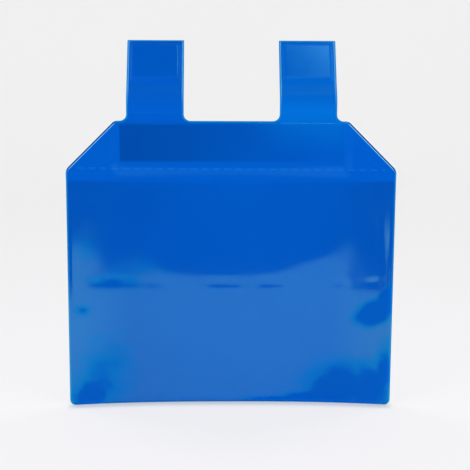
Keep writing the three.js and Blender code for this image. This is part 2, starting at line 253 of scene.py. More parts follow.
def grid_layout(columns, rows, closed_ends):
    """A flat sheet on a grid: columns(row) gives the x of each point. closed_ends says whether the
    first and the last row are edges of the sheet."""
    grid = np.array([[(x, row) for x in columns(row)] for row in rows])
    high, wide = grid.shape[:2]
    at = lambda i, j: i * wide + j
    faces = [
        (at(i, j), at(i, j + 1), at(i + 1, j + 1), at(i + 1, j))
        for i in range(high - 1)
        for j in range(wide - 1)
    ]
    edges = [(at(i, wide - 1), at(i + 1, wide - 1)) for i in range(high - 1)]
    edges += [(at(i + 1, 0), at(i, 0)) for i in range(high - 1)]
    if closed_ends[0]:
        edges += [(at(0, j), at(0, j + 1)) for j in range(wide - 1)]
    if closed_ends[1]:
        edges += [(at(high - 1, j + 1), at(high - 1, j)) for j in range(wide - 1)]
    return grid.reshape(-1, 2), faces, edges


def placed(flat, depth):
    """The points of a flat layout, each at its depth."""
    return np.stack([flat[:, 0], depth, flat[:, 1]], 1)


def make_sheet(name, flat, distance, faces, edges, front, rear, material, uv_shift=(0, 0)):
    """A closed sheet from its layout and the places of its front and rear faces, in millimetres.
    uv_shift moves its layout to where it lies on the whole flat sheet."""
    count = len(flat)
    points = np.concatenate([front, rear]) * MM
    polygons = list(faces) + [tuple(v + count for v in reversed(face)) for face in faces]
    polygons += [(b, a, a + count, b + count) for a, b in edges]
    mesh = bpy.data.meshes.new(name)
    mesh.from_pydata(points.tolist(), [], polygons)
    mesh.polygons.foreach_set("use_smooth", np.ones(len(polygons), bool))
    mesh.set_sharp_from_angle(angle=SHARP)
    corner_vertex = np.zeros(len(mesh.loops), np.int32)
    mesh.loops.foreach_get("vertex_index", corner_vertex)
    places = (np.tile(flat, (2, 1)) + np.array(uv_shift)) * MM
    layer = mesh.uv_layers.new(name="sheet")
    layer.data.foreach_set("uv", places[corner_vertex].astype(np.float32).ravel())
    rim = mesh.attributes.new("rim", "FLOAT", "POINT")
    rim.data.foreach_set("value", np.tile(distance, 2).astype(np.float32))
    mesh.materials.append(material)
    mesh.validate()
    piece = bpy.data.objects.new(name, mesh)
    bpy.context.scene.collection.objects.link(piece)
    return piece


# Node graphs


def graph(name):
    material = bpy.data.materials.new(name)
    material.use_nodes = True
    material.node_tree.nodes.clear()
    return material, material.node_tree


def add(tree, kind, inputs=None, **settings):
    node = tree.nodes.new(kind)
    for key, value in settings.items():
        setattr(node, key, value)
    for key, value in (inputs or {}).items():
        if isinstance(value, bpy.types.NodeSocket):
            tree.links.new(value, node.inputs[key])
        else:
            node.inputs[key].default_value = value
    return node


def maths(tree, operation, *values):
    return add(tree, "ShaderNodeMath", dict(enumerate(values)), operation=operation).outputs[0]


def product(tree, first, *others):
    for value in others:
        first = maths(tree, "MULTIPLY", first, value)
    return first


def ramp(tree, value, low, high, start=0.0, end=1.0):
    """start where value is low, end where it is high, smooth between."""
    inputs = {"Value": value, 1: low, 2: high, 3: start, 4: end}
    return add(tree, "ShaderNodeMapRange", inputs, interpolation_type="SMOOTHSTEP").outputs[0]


def slab(tree, value, centre, half, soft):
    """1 within half of the centre, 0 past it."""
    away = maths(tree, "ABSOLUTE", maths(tree, "SUBTRACT", value, centre))
    return ramp(tree, away, half - soft, half + soft, 1.0, 0.0)


def ramp_mm(tree, value, low, high, start=0.0, end=1.0):
    """A ramp of a value in metres, with its limits in millimetres."""
    return ramp(tree, value, low * MM, high * MM, start, end)


def slab_mm(tree, value, centre, half, soft):
    return slab(tree, value, centre * MM, half * MM, soft * MM)


def mix(tree, factor, first, second):
    node = add(tree, "ShaderNodeMix", {0: factor, 6: first, 7: second}, data_type="RGBA")
    return node.outputs[2]


def noise(tree, vector, scale, detail=2.0, roughness=0.5):
    inputs = {"Vector": vector, "Scale": scale, "Detail": detail, "Roughness": roughness}
    return add(tree, "ShaderNodeTexNoise", inputs).outputs["Fac"]


def sheet_place(tree):
    """The place on the flat sheet, in metres, which goes with the sheet when a strap bends."""
    vector = add(tree, "ShaderNodeUVMap", uv_map="sheet").outputs[0]
    parts = add(tree, "ShaderNodeSeparateXYZ", {0: vector})
    return vector, parts.outputs[0], parts.outputs[1]


def rim_distance(tree):
    return add(tree, "ShaderNodeAttribute", attribute_name="rim").outputs["Fac"]


# In the values below a ramp is (low, high, start, end) and a slab (centre, half, soft), in millimetres
# where ramp_mm or slab_mm takes it

PVC_BLUE = (0.0004, 0.103, 0.57, 1)
PVC_PAINTED_LIGHT = (0.0004, 0.152, 0.655, 1)  # painted light, where light through the real sheet is strongest
PVC_SHADE = (0.0003, 0.065, 0.37, 1)  # over a magnet, where no light comes through the sheet
PVC_PRESSED_EDGE_GLOW = (0.001, 0.20, 0.60, 1)  # pressed thin along the weld, and lighter with painted light through the thin edge
# painted shade: the weld's edge is darker along the bottom, where the object stands
PVC_BOTTOM_EDGE_SHADE = (0.0004, 0.10, 0.42, 1)
PVC_CUT_EDGE = (0.0003, 0.045, 0.23, 1)  # outside the glint along the chamfers
PVC_PAINTED_GLINT = (0.18, 0.60, 0.97, 1)  # painted glint: a highlight on the weld's bead along the chamfers and the straps
PVC_DASH = (0.0006, 0.14, 0.64, 1)  # the row of tack welds over the film
PVC_MIRROR = (0.16, 0.9, 1.0, 1)  # tint of what it mirrors

# Over the magnets
SHADE_SHARE, PAD_SHADE_SHARE = 0.9, 0.15
SHADE_SOFT, HEADER_SHADE_SOFT = 0.6, 1.6
SHEET_LIFTS_AND_SHEEN = (-110, 130, 1.0, 0.15)  # the shade over the header's magnet fades to the right: the sheet lies closer to it at the left, and the lighter right end is painted sheen

# The row of tack welds
DASH_PITCH, DASH_SHARE, DASH_HALF = 10.9, 0.60, 1.0
DASH_Z, DASH_SPAN = -26.4, 149.0
DASH_LEAN = -0.0036  # the row lies a little higher at the left
DASH_COLOUR_SHARE = 0.75

# The weld, by the distance from the outline in millimetres
EDGE_WIDTH, CUT_EDGE_WIDTH = (1.2, 2.2, 0.95, 0.0), (0.9, 1.4, 1.0, 0.0)
EDGE_ON_CHAMFER = 0.25  # share of the edge's colour that is left there
BOTTOM_EDGE_ENDS = (BOTTOM + 1.5, BOTTOM + 3)
STRAP_GLINT, STRAP_GLINT_SHARE, STRAP_GLINT_RISE = (1.6, 0.55, 0.3), 0.5, (TOP + 12, TOP + 35)
CHAMFER_GLINT = (1.75, 0.3, 0.2)

# Painted light through the sheet at the root of the right strap
LIGHT_RISE, LIGHT_FALL = (-16, TOP + 5), (TOP + 10, TOP + 26, 1.0, 0.5)
LIGHT_FROM, LIGHT_TO = (10, 55), (101, 112, 1.0, 0.25)

# Gloss: polished by handling over the straps' magnets, and duller where the straps flex
PVC_ROUGHNESS, FLEXED_ROUGHNESS, PAD_ROUGHNESS = (0.35, 0.75, 0.12, 0.17), 0.2, -0.04
STRAP_BEGINS, PAD_BEGINS = (TOP + 4, TOP + 8), (TOP + PAD_START - 1, TOP + PAD_START + 3)
CLOUDS = (0.3, 0.7, 0.985, 1.015)
PVC_IOR, IOR_BEHIND_FILM = 1.42, 1.25


def over_magnets(tree, x, v):
    """1 where the sheet is darkest over a magnet."""
    header = product(
        tree,
        slab_mm(tree, x, 0, magnet_high[0], SHADE_SOFT),
        slab_mm(tree, v, 0, magnet_high[2], HEADER_SHADE_SOFT),
        ramp_mm(tree, x, *SHEET_LIFTS_AND_SHEEN),
    )
    pad_centre = TOP + PAD_START + STRAP_MAGNET_HEIGHT / 2
    pad = product(
        tree,
        slab_mm(tree, maths(tree, "ABSOLUTE", x), STRAP_CENTRE, STRAP_MAGNET_HALF, SHADE_SOFT),
        slab_mm(tree, v, pad_centre, STRAP_MAGNET_HEIGHT / 2, SHADE_SOFT),
        PAD_SHADE_SHARE,
    )
    return maths(tree, "MAXIMUM", header, pad)


def tack_welds(tree, x, v):
    """1 on the dashes over the film's top edge."""
    run = maths(tree, "DIVIDE", maths(tree, "ADD", x, DASH_SPAN * MM), DASH_PITCH * MM)
    from_end = maths(tree, "SUBTRACT", x, DASH_SPAN * MM)
    row = maths(tree, "SUBTRACT", v, maths(tree, "MULTIPLY", from_end, DASH_LEAN))
    return product(
        tree,
        slab(tree, maths(tree, "FRACT", run), DASH_SHARE / 2, DASH_SHARE / 2, 0.05),
        slab_mm(tree, row, DASH_Z, DASH_HALF, 0.4),
        slab_mm(tree, x, 0, DASH_SPAN, 1),
    )


def colour_weld(tree, colour, x, v):
    """The colour with the weld's pressed edge in painted light, painted shade along the bottom, and a
    painted glint of its bead on straps and chamfers.
    """
    rim = rim_distance(tree)
    away = maths(tree, "ABSOLUTE", x)
    from_strap = maths(tree, "ABSOLUTE", maths(tree, "SUBTRACT", away, STRAP_CENTRE * MM))
    on_side = product(
        tree, slab_mm(tree, from_strap, STRAP_HALF, 2, 0.4), ramp_mm(tree, v, *STRAP_GLINT_RISE)
    )
    on_chamfer = product(
        tree,
        ramp_mm(tree, away, CROWN_HALF - 1, CROWN_HALF + 1),
        ramp_mm(tree, v, SHOULDER - 2, SHOULDER + 2),
    )
    # painted light: the weld's pressed edge is lighter, as if lit through the thin sheet
    edge = product(
        tree, ramp(tree, rim, *EDGE_WIDTH), ramp(tree, on_chamfer, 0.0, 1.0, 1.0, EDGE_ON_CHAMFER)
    )
    # painted shade along the bottom edge
    edge_colour = mix(tree, ramp_mm(tree, v, *BOTTOM_EDGE_ENDS), PVC_BOTTOM_EDGE_SHADE, PVC_PRESSED_EDGE_GLOW)
    colour = mix(tree, edge, colour, edge_colour)
    cut_edge = product(tree, on_chamfer, ramp(tree, rim, *CUT_EDGE_WIDTH))
    colour = mix(tree, cut_edge, colour, PVC_CUT_EDGE)
    # painted highlight: the glint of the bead
    glint = maths(
        tree,
        "MAXIMUM",
        product(tree, slab(tree, rim, *STRAP_GLINT), on_side, STRAP_GLINT_SHARE),
        product(tree, slab(tree, rim, *CHAMFER_GLINT), on_chamfer),
    )
    return mix(tree, glint, colour, PVC_PAINTED_GLINT)


def blue_pvc(name, ior):
    """The blue sheet, opaque. What shows through the real one is painted by its place on the sheet,
    and so are light through it and the highlights of its welds.
    """
    material, tree = graph(name)
    vector, x, v = sheet_place(tree)
    # painted light: a lighter patch at the root of the right strap
    light = product(
        tree,
        ramp_mm(tree, v, *LIGHT_RISE),
        ramp_mm(tree, v, *LIGHT_FALL),
        ramp_mm(tree, x, *LIGHT_FROM),
        ramp_mm(tree, x, *LIGHT_TO),
    )
    colour = mix(tree, light, PVC_BLUE, PVC_PAINTED_LIGHT)
    colour = mix(tree, product(tree, over_magnets(tree, x, v), SHADE_SHARE), colour, PVC_SHADE)
    dash = tack_welds(tree, x, v)
    colour = mix(tree, product(tree, dash, DASH_COLOUR_SHARE), colour, PVC_DASH)
    colour = colour_weld(tree, colour, x, v)
    cloud = ramp(tree, noise(tree, vector, 9.0, 1.0), *CLOUDS)
    shade = add(tree, "ShaderNodeHueSaturation", {"Color": colour, "Value": cloud}).outputs[0]
    grain = noise(tree, vector, 2600.0, 3.0)
    fine = add(tree, "ShaderNodeBump", {"Height": grain, "Strength": 0.03, "Distance": 0.0001})
    pressed = add(
        tree,
        "ShaderNodeBump",
        {"Height": dash, "Strength": 0.5, "Distance": 0.0002, "Normal": fine.outputs[0]},
        invert=True,
    )
    scuffs = ramp(tree, noise(tree, vector, 90.0, 5.0, 0.65), *PVC_ROUGHNESS)
    over_pad = ramp_mm(tree, v, *PAD_BEGINS)
    flexed = product(
        tree, ramp_mm(tree, v, *STRAP_BEGINS), maths(tree, "SUBTRACT", 1.0, over_pad), FLEXED_ROUGHNESS
    )
    dull = maths(tree, "ADD", flexed, ramp(tree, over_pad, 0.0, 1.0, 0.0, PAD_ROUGHNESS))
    surface = add(
        tree,
        "ShaderNodeBsdfPrincipled",
        {
            "Base Color": shade,
            "Roughness": maths(tree, "ADD", scuffs, dull),
            "Normal": pressed.outputs[0],
            "IOR": ior,
            "Specular Tint": PVC_MIRROR,
        },
    )
    add(tree, "ShaderNodeOutputMaterial", {"Surface": surface.outputs[0]})
    return material


# The film's tint of what is behind it, and the colours of its gloss
CLEAR, CLEAR_WELD = (0.99, 0.997, 1, 1), (1, 1, 1, 1)
CLEAR_DARKER, CLEAR_STUCK = (0.98, 0.98, 0.985, 1), (0.94, 0.965, 0.96, 1)
FILM_GLOSS, GRAZING_GLOSS = (0.3, 1.0, 0.5, 1), (0.6, 0.85, 1, 1)
HALF_STUCK_GLOSS = (0.03, 1.0, 0.55, 1)  # around a patch where the film clings

# How much gloss it has: at grazing angles, and straight on, where it is tauter towards the sides
GRAZING_POWER, GRAZING_SHARE = 5.0, 0.2
TAUT = (90, 155, 0.036, 0.056)
# What it loses where it clings, by the attribute cling and a noise that frays the patches' borders
FRAYED = (0.2, 0.8, -0.06, 0.06)
HALF_STUCK, STUCK, STUCK_GLOSS_SHARE = (0.2, 0.45), (0.38, 0.60), 0.02
WELDED = (2.9, 4.5, 1.0, 0.0)  # by the distance from the outline in millimetres
SMEARED = (0.35, 0.7, 0.05, 0.09)  # roughness, to which more comes where the film hangs limp
LIMP_LEFT, LIMP_RIGHT = (-110, -50, 0.035, 0.0), (90, 130, 0.0, 0.04)
# where the film darkens what is behind it more: at the left, and towards the right side
DARKER_LEFT, DARKER_RIGHT = (-90, 30, 40), (80, 150, 0.0, 0.8)


def clear_film():
    """Clear film: what is behind it shows through, under a gloss that grows towards grazing angles."""
    material, tree = graph("clear_film")
    vector, x, _ = sheet_place(tree)
    facing = add(tree, "ShaderNodeLayerWeight", {"Blend": 0.5}).outputs["Facing"]
    grazing = product(tree, maths(tree, "POWER", facing, GRAZING_POWER), GRAZING_SHARE)
    cling = add(tree, "ShaderNodeAttribute", attribute_name="cling").outputs["Fac"]
    fray = ramp(tree, noise(tree, vector, 70.0, 3.0), *FRAYED)
    frayed = maths(tree, "ADD", cling, fray)
    stuck = ramp(tree, frayed, *STUCK)
    gloss = product(
        tree,
        maths(tree, "ADD", grazing, ramp_mm(tree, maths(tree, "ABSOLUTE", x), *TAUT)),
        ramp(tree, stuck, 0.0, 1.0, 1.0, STUCK_GLOSS_SHARE),
    )
    smear = ramp(tree, noise(tree, vector, 30.0, 4.0, 0.6), *SMEARED)
    limp = maths(tree, "ADD", ramp_mm(tree, x, *LIMP_LEFT), ramp_mm(tree, x, *LIMP_RIGHT))
    ripple = noise(tree, vector, 45.0, 1.0)
    bump = add(tree, "ShaderNodeBump", {"Height": ripple, "Strength": 0.006, "Distance": 0.001})
    level_gloss = mix(tree, ramp(tree, frayed, *HALF_STUCK), FILM_GLOSS, HALF_STUCK_GLOSS)
    shine = add(
        tree,
        "ShaderNodeBsdfGlossy",
        {
            "Color": mix(tree, maths(tree, "POWER", facing, 2.0), level_gloss, GRAZING_GLOSS),
            "Roughness": maths(tree, "ADD", smear, limp),
            "Normal": bump.outputs[0],
        },
    )
    dull = maths(tree, "ADD", slab_mm(tree, x, *DARKER_LEFT), ramp_mm(tree, x, *DARKER_RIGHT))
    clear = mix(tree, stuck, mix(tree, dull, CLEAR, CLEAR_DARKER), CLEAR_STUCK)
    clear = mix(tree, ramp(tree, rim_distance(tree), *WELDED), clear, CLEAR_WELD)
    through = add(tree, "ShaderNodeBsdfTransparent", {0: clear})
    layers = {0: gloss, 1: through.outputs[0], 2: shine.outputs[0]}
    surface = add(tree, "ShaderNodeMixShader", layers)
    add(tree, "ShaderNodeOutputMaterial", {"Surface": surface.outputs[0]})
    return material


FERRITE, FERRITE_SPECK = (0.02, 0.018, 0.017, 1), (0.07, 0.063, 0.058, 1)
ROLLED = (6.0, 900.0, 900.0)  # scale of the lines that rolling leaves along the strip


def magnet_rubber():
    """Ferrite-filled rubber: nearly black, with pale specks and the lines of its rolling."""
    material, tree = graph("magnet_rubber")
    vector = add(tree, "ShaderNodeTexCoord").outputs["Object"]
    specks = noise(tree, vector, 1400.0, 4.0, 0.7)
    rolled = add(tree, "ShaderNodeMapping", {0: vector, 3: ROLLED}).outputs[0]
    lines = noise(tree, rolled, 1.0, 2.0)
    bump = add(tree, "ShaderNodeBump", {"Height": lines, "Strength": 0.15, "Distance": 0.0002})
    surface = add(
        tree,
        "ShaderNodeBsdfPrincipled",
        {
            "Base Color": mix(tree, ramp(tree, specks, 0.55, 0.8), FERRITE, FERRITE_SPECK),
            "Roughness": ramp(tree, specks, 0.3, 0.7, 0.62, 0.8),
            "Normal": bump.outputs[0],
        },
    )
    add(tree, "ShaderNodeOutputMaterial", {"Surface": surface.outputs[0]})
    return material


PVC, CLEAR_FILM, RUBBER = blue_pvc("blue_pvc", PVC_IOR), clear_film(), magnet_rubber()
PVC_BEHIND_FILM = blue_pvc("blue_pvc_behind_film", IOR_BEHIND_FILM)


# The body's sheets


def bow(x, z):
    """How far forward the body has curled: nothing in the header, most at the bottom corners."""
    down = np.clip(MOUTH - z, 0, None) / (MOUTH - BOTTOM)
    return BOTTOM_BOW * down * np.abs(x / HALF_WIDTH) ** BOW_POWER


def body_sheet(name, low, front, rear, xs, zs):
    """A sheet with the body's outline down to the height low, and the roots of both straps."""
    tab = TOP + TAB
    inner_edge, outer_edge = STRAP_CENTRE - STRAP_HALF, STRAP_CENTRE + STRAP_HALF
    right = [
        (HALF_WIDTH, SHOULDER, SHOULDER_RADIUS),
        (CROWN_HALF, TOP, CROWN_RADIUS),
        (outer_edge, TOP, ROOT_RADIUS),
        (outer_edge, tab, 0),
    ]
    left = [(-x, z, r) for x, z, r in reversed(right)]
    between = [
        (inner_edge, tab, 0),
        (inner_edge, TOP, ROOT_RADIUS),
        (-inner_edge, TOP, ROOT_RADIUS),
        (-inner_edge, tab, 0),
    ]
    if low > BOTTOM:
        outlines = [[(HALF_WIDTH, low, 0)] + right, between, left + [(-HALF_WIDTH, low, 0)]]
        walls = [False, False, True]
    else:
        feet = [(-HALF_WIDTH, BOTTOM, FOOT_RADIUS), (HALF_WIDTH, BOTTOM, FOOT_RADIUS)]
        outlines, walls = [left + feet + right, between], [False, False]
    flat, distance, faces, edges = cut_layout(outlines, walls, xs, zs)
    sides = [placed(flat, depth(*flat.T, distance)) for depth in (front, rear)]
    return make_sheet(name, flat, distance, faces, edges, *sides, PVC)


def steps(*stops):
    """The values of stretches (from, to, step), and the last stretch's end."""
    parts = [np.arange(a, b, step) for a, b, step in stops] + [[stops[-1][1]]]
    return np.concatenate(parts)


REAR_RELIEF = 0.4  # the weld shows less on the rear face
LOOKS_FORWARD = -0.5  # highest y of such a face's normal

# Lattices of the two sheets, the header's finer over the slopes beside its magnet
BACK_XS, BACK_ZS = steps((-156, 156, 6)), steps((-258, -42, 6), (-42, 14, 7), (14, 28, 7))
HEADER_XS = steps((-156, -104, 1.5), (-104, 104, 4), (104, 156, 1.5))
HEADER_ZS = steps((-36.5, -15.5, 1), (-15.5, 14.5, 5), (14.5, 27, 1))

back_sheet = body_sheet(
    "back_sheet",
    BOTTOM,
    lambda x, z, d: -SKIN - bow(x, z),
    lambda x, z, d: REAR_RELIEF * weld_relief(d) - bow(x, z),
    BACK_XS,
    BACK_ZS,
)
back_sheet.data.materials.append(PVC_BEHIND_FILM)
for polygon in back_sheet.data.polygons[: len(back_sheet.data.polygons) // 2]:
    if polygon.normal.y < LOOKS_FORWARD and polygon.center.z < MOUTH * MM:
        polygon.material_index = 1
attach(back_sheet, "pocket")
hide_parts("back_skin")

FLAT_HALF = magnet_high[0] + MAGNET_EDGE_GAP
FLAT_END = magnet_high[2] + MAGNET_EDGE_GAP


def header_tent(x, z):
    """How far the header's front sheet is lifted over the magnet."""
    across = 1 - smooth(np.abs(x), FLAT_HALF, FLAT_HALF + HEADER_SLOPE_SIDE)
    above = 1 - smooth(z, FLAT_END, FLAT_END + HEADER_SLOPE_ABOVE)
    below = 1 - smooth(-z, FLAT_END, FLAT_END + HEADER_SLOPE_BELOW)
    return TENT * across * above * below


header_sheet = body_sheet(
    "header_front_sheet",
    MOUTH,
    lambda x, z, d: FRONT_REAR - SKIN - header_tent(x, z) - weld_relief(d),
    lambda x, z, d: FRONT_REAR - header_tent(x, z),
    HEADER_XS,
    HEADER_ZS,
)
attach(header_sheet, "pocket")
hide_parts("header_front_skin")


# The window film

WELD_WIDTH = 4.0
MOUTH_GAPE, BELLY, BELLY_POWER = 7.5, 9.5, 2.6
CROWN = -130.0  # the belly's fullest height
CREASE, CREASE_HALF, CREASE_DEPTH = -137.6, 4.2, 0.03
SLACK_POWER, FOOT_POWER = 30, 8  # how steeply the slack and the stand-off end at the welds

# Slack in the film as bumps (x, z, reach across, reach up and down, height)
RIPPLES = [
    (150.5, -108, 2.6, 62, 0.30),
    (-82, -108, 20, 12, 0.10),
    (84, -112, 22, 12, 0.06),
    (30, -119, 30, 14, -0.03),
    (-60, -190, 60, 50, 0.12),
    (70, -200, 50, 40, -0.10),
]
# Where the fold across the film is pressed in: (x, reach, depth)
CREASE_DENTS = [
    (-131, 7, 0.12),
    (-115, 11, 0.18),
    (-97, 8, 0.15),
    (-76, 8, 0.16),
    (-14, 8, 0.12),
    (2, 7, 0.12),
    (34, 7, 0.18),
    (48, 6, 0.12),
    (72, 10, 0.12),
    (104, 9, 0.22),
    (141, 6, 0.20),
]


def film_stand_off(x, z):
    """How far the film stands off its weld's plane."""
    edge = HALF_WIDTH - WELD_WIDTH
    side = np.clip(np.abs(x) / edge, 0, 1)
    weld = BOTTOM + WELD_WIDTH
    above = (z - CROWN) / (FILM_TOP - CROWN)
    below = np.clip((CROWN - z) / (CROWN - weld), 0, 1)
    height = np.where(
        z > CROWN, BELLY - (BELLY - MOUTH_GAPE) * above**2, BELLY * (1 - below**BELLY_POWER)
    )
    slack = sum(
        tall * np.exp(-(((x - bx) / rx) ** 2) - ((z - bz) / rz) ** 2)
        for bx, bz, rx, rz, tall in RIPPLES
    )
    dent = sum(deep * np.exp(-(((x - cx) / rx) ** 2)) for cx, rx, deep in CREASE_DENTS)
    slack = slack - (CREASE_DEPTH + dent) * np.exp(-(((z - CREASE) / CREASE_HALF) ** 2))
    height = height * (1 - side**BELLY_POWER) + slack * (1 - side**SLACK_POWER)
    return height * (1 - below**FOOT_POWER)


# Where the film clings to the back sheet and loses its gloss:
# (x, z, reach across, reach up and down, lean, hold)
CLINGS = [
    (142, -168.5, 16.5, 12, 0.35, 1.0),
    (152, -158, 8, 15, 0.3, 1.0),
    (109, -247, 34, 27, 0.1, 0.82),
    (138, -247, 24, 26, 0.0, 0.8),
    (153, -232, 12, 31, 0.1, 0.70),
    (84, -259, 30, 8, 0.3, 0.9),
    (48, -261, 34, 3, 0.0, 0.8),
    (-140, -256, 19, 22, 0.25, 0.8),
    (-127, -238, 34, 50, 0.2, 0.54),
    (-139, -100, 24, 24, 0.0, 0.43),
    (-106, -125, 24, 15, 0.0, 0.46),
    (-84, -118, 22, 14, 0.0, 0.46),
    (-62, -119, 20, 13, 0.0, 0.46),
    (-146, -166, 10, 6.5, 0.0, 0.58),
    (-113, -137, 30, 8, 0.0, 0.6),
]


def film_cling(x, z):
    """1 in the middle of a patch where the film clings fully, 0.5 at its edge."""
    held = np.zeros(len(x))
    for cx, cz, rx, rz, lean, hold in CLINGS:
        across = (x - cx - lean * (z - cz)) / rx
        held = np.maximum(held, hold * (1 - 0.5 * np.hypot(across, (z - cz) / rz)))
    return np.clip(held, 0, 1)


def rounded_inside(x, z, half, low, radius):
    """Distance inside an outline with two straight sides, an edge at low and rounded corners."""
    side, up = half - np.abs(x), z - low
    in_corner = (side < radius) & (up < radius)
    return np.where(in_corner, radius - np.hypot(radius - side, radius - up), np.minimum(side, up))


# The film's grid: points from the middle to a side, closer together there, and rows below, across and
# above the crease
HALF_COLUMNS, CROWDING = 56, 0.85
ROWS_BELOW, ROWS_ABOVE, CREASE_REACH = 40, 42, 12


def film_columns(z):
    """Places across the film at a height, which follow its rounded bottom corners."""
    drop = max(BOTTOM + FOOT_RADIUS - z, 0)
    half = HALF_WIDTH - FOOT_RADIUS + np.sqrt(FOOT_RADIUS**2 - drop**2)
    core = np.linspace(0, 1, HALF_COLUMNS) ** CROWDING * (half - WELD_WIDTH - 1)
    right = np.concatenate([core, half - np.array([WELD_WIDTH, *RIM_STEPS[::-1]])])
    return np.concatenate([-right[:0:-1], right])


def window_film():
    """The clear sheet, welded at three edges and standing off the back sheet between them."""
    rows = [
        BOTTOM + np.array([SET_IN, *RIM_STEPS[1:], 4, 5, 6]),
        np.linspace(BOTTOM + 7.5, CREASE - CREASE_REACH - 2, ROWS_BELOW),
        np.arange(CREASE - CREASE_REACH, CREASE + CREASE_REACH, 1.0),
        np.linspace(CREASE + CREASE_REACH + 1, FILM_TOP, ROWS_ABOVE),
    ]
    flat, faces, edges = grid_layout(film_columns, np.concatenate(rows), (True, True))
    x, z = flat.T
    distance = rounded_inside(x, z, HALF_WIDTH, BOTTOM, FOOT_RADIUS)
    rear = FRONT_REAR - bow(x, z) - film_stand_off(x, z)
    front = rear - FILM - weld_relief(distance)
    sides = [placed(flat, depth) for depth in (front, rear)]
    made = make_sheet("window_pane", flat, distance, faces, edges, *sides, CLEAR_FILM)
    cling = made.data.attributes.new("cling", "FLOAT", "POINT")
    cling.data.foreach_set("value", np.tile(film_cling(x, z), 2).astype(np.float32))
    return made


pane = window_film()
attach(pane, "pocket")
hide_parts("window_film")


# Straps, laid out straight and then bent back along their hinges

BEND_HALF = [2.7, 2.7, 2.7, 4.0]  # half the length over which each hinge's turn is spread
CURVE_POINTS = 4000
LOOP_ROW, PAD_ROW, TIP_ROW = 0.45, 4.0, 0.6  # distance between the rows of a strap's grid

curve_s = np.linspace(0, STRAP_LENGTH + 1, CURVE_POINTS)
curve_turn = sum(
    turn * smooth(curve_s, at - half, at + half)
    for at, turn, half in zip(HINGES, REST_TURNS, BEND_HALF)
)
step = curve_s[1] - curve_s[0]
curve_y = MID_PLANE + np.concatenate([[0], np.cumsum(np.sin(curve_turn[:-1]) * step)])
curve_z = TOP + np.concatenate([[0], np.cumsum(np.cos(curve_turn[:-1]) * step)])


def on_strap(x, s, depth, centre):
    """The place of a strap's point at rest, depth being measured to the rear of the mid-plane."""
    turn = np.interp(s, curve_s, curve_turn)
    y = np.interp(s, curve_s, curve_y) + depth * np.cos(turn)
    z = np.interp(s, curve_s, curve_z) - depth * np.sin(turn)
    return np.stack([centre + x, y, z], 1)


def pad_tent(x, s):
    """How far a pad's front sheet is lifted over its magnet."""
    flat_half = STRAP_MAGNET_HALF + MAGNET_EDGE_GAP
    start, end = PAD_START - MAGNET_EDGE_GAP, PAD_START + STRAP_MAGNET_HEIGHT + MAGNET_EDGE_GAP
    across = 1 - smooth(np.abs(x), flat_half, flat_half + PAD_SLOPE_SIDE)
    below = smooth(s, start - PAD_SLOPE_BELOW, start)
    above = 1 - smooth(s, end, end + PAD_SLOPE_ABOVE)
    return TENT * across * below * above


def strap_columns(s):
    """Places across a strap at a length, which follow its rounded tip."""
    drop = max(s - (STRAP_LENGTH - TIP_RADIUS), 0)
    half = STRAP_HALF - TIP_RADIUS + np.sqrt(max(TIP_RADIUS**2 - drop**2, 0))
    slope = np.linspace(STRAP_MAGNET_HALF - 0.5, STRAP_HALF - 3.6, 5) * half / STRAP_HALF
    right = np.concatenate([[0, 7, 14], slope, half - RIM_STEPS[::-1]])
    return np.concatenate([-right[:0:-1], right])


def strap_rows(start, end, last):
    """Places along one stretch of a strap, from start to end. The last stretch ends in the weld
    round the tip."""
    rows = np.arange(start, min(end, PAD_START + 1), LOOP_ROW)
    if last:
        tip = STRAP_LENGTH - RIM_STEPS[::-1]
        tip[-1] -= SET_IN
        pad_end = PAD_START + STRAP_MAGNET_HEIGHT
        pad = steps((PAD_START + 2, pad_end - 2, PAD_ROW), (pad_end - 1, tip[0], TIP_ROW))
        rows = np.concatenate([rows, pad, tip])
    else:
        rows = np.append(rows, end)
    return np.unique(np.round(rows, 4))


def strap_pieces(side, centre):
    """The front and back sheets of one strap, in a piece for each stretch between two hinges."""
    at, _, bodies = strap_hinges(side)
    cuts = [TAB, *(at[:-1] + at[1:]) / 2, STRAP_LENGTH]
    for i, hinge in enumerate(at):
        last = i == len(at) - 1
        rows = strap_rows(cuts[i], cuts[i + 1], last)
        flat, faces, edges = grid_layout(strap_columns, rows, (False, last))
        x, s = flat.T
        distance = rounded_inside(x, STRAP_LENGTH - s, STRAP_HALF, 0, TIP_RADIUS)
        relief = weld_relief(distance)
        front_rear = -WELD_GAP / 2 - pad_tent(x, s)
        sheets = {
            "front": (front_rear - SKIN - relief, front_rear),
            "back": (np.full(len(x), WELD_GAP / 2), WELD_GAP / 2 + SKIN + REAR_RELIEF * relief),
        }
        part = "pad" if last else f"bend_{i + 1}"
        spread = [hinge - BEND_HALF[i], hinge + BEND_HALF[i]]
        ends = zip(np.interp(spread, curve_s, curve_y), np.interp(spread, curve_s, curve_z))
        start, end = [(centre * MM, y * MM, z * MM) for y, z in ends]
        for face, depths in sheets.items():
            piece = make_sheet(
                f"{side}_strap_{face}_sheet_{i + 1}",
                flat,
                distance,
                faces,
                edges,
                *(on_strap(x, s, depth, centre) for depth in depths),
                PVC,
                uv_shift=(centre, TOP),
            )
            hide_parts(f"{side}_strap_{part}_{face}")
            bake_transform(piece)


strap_pieces("left", -STRAP_CENTRE)
strap_pieces("right", STRAP_CENTRE)

for node in ("header_magnet", "left_strap_magnet", "right_strap_magnet"):
    for slot in frame["nodes"][node].material_slots:
        slot.material = RUBBER


# Studio

FLOOR_BEND, FLOOR_RADIUS, FLOOR_HALF, WALL_TOP = 1.1, 0.9, 8.0, 2.6

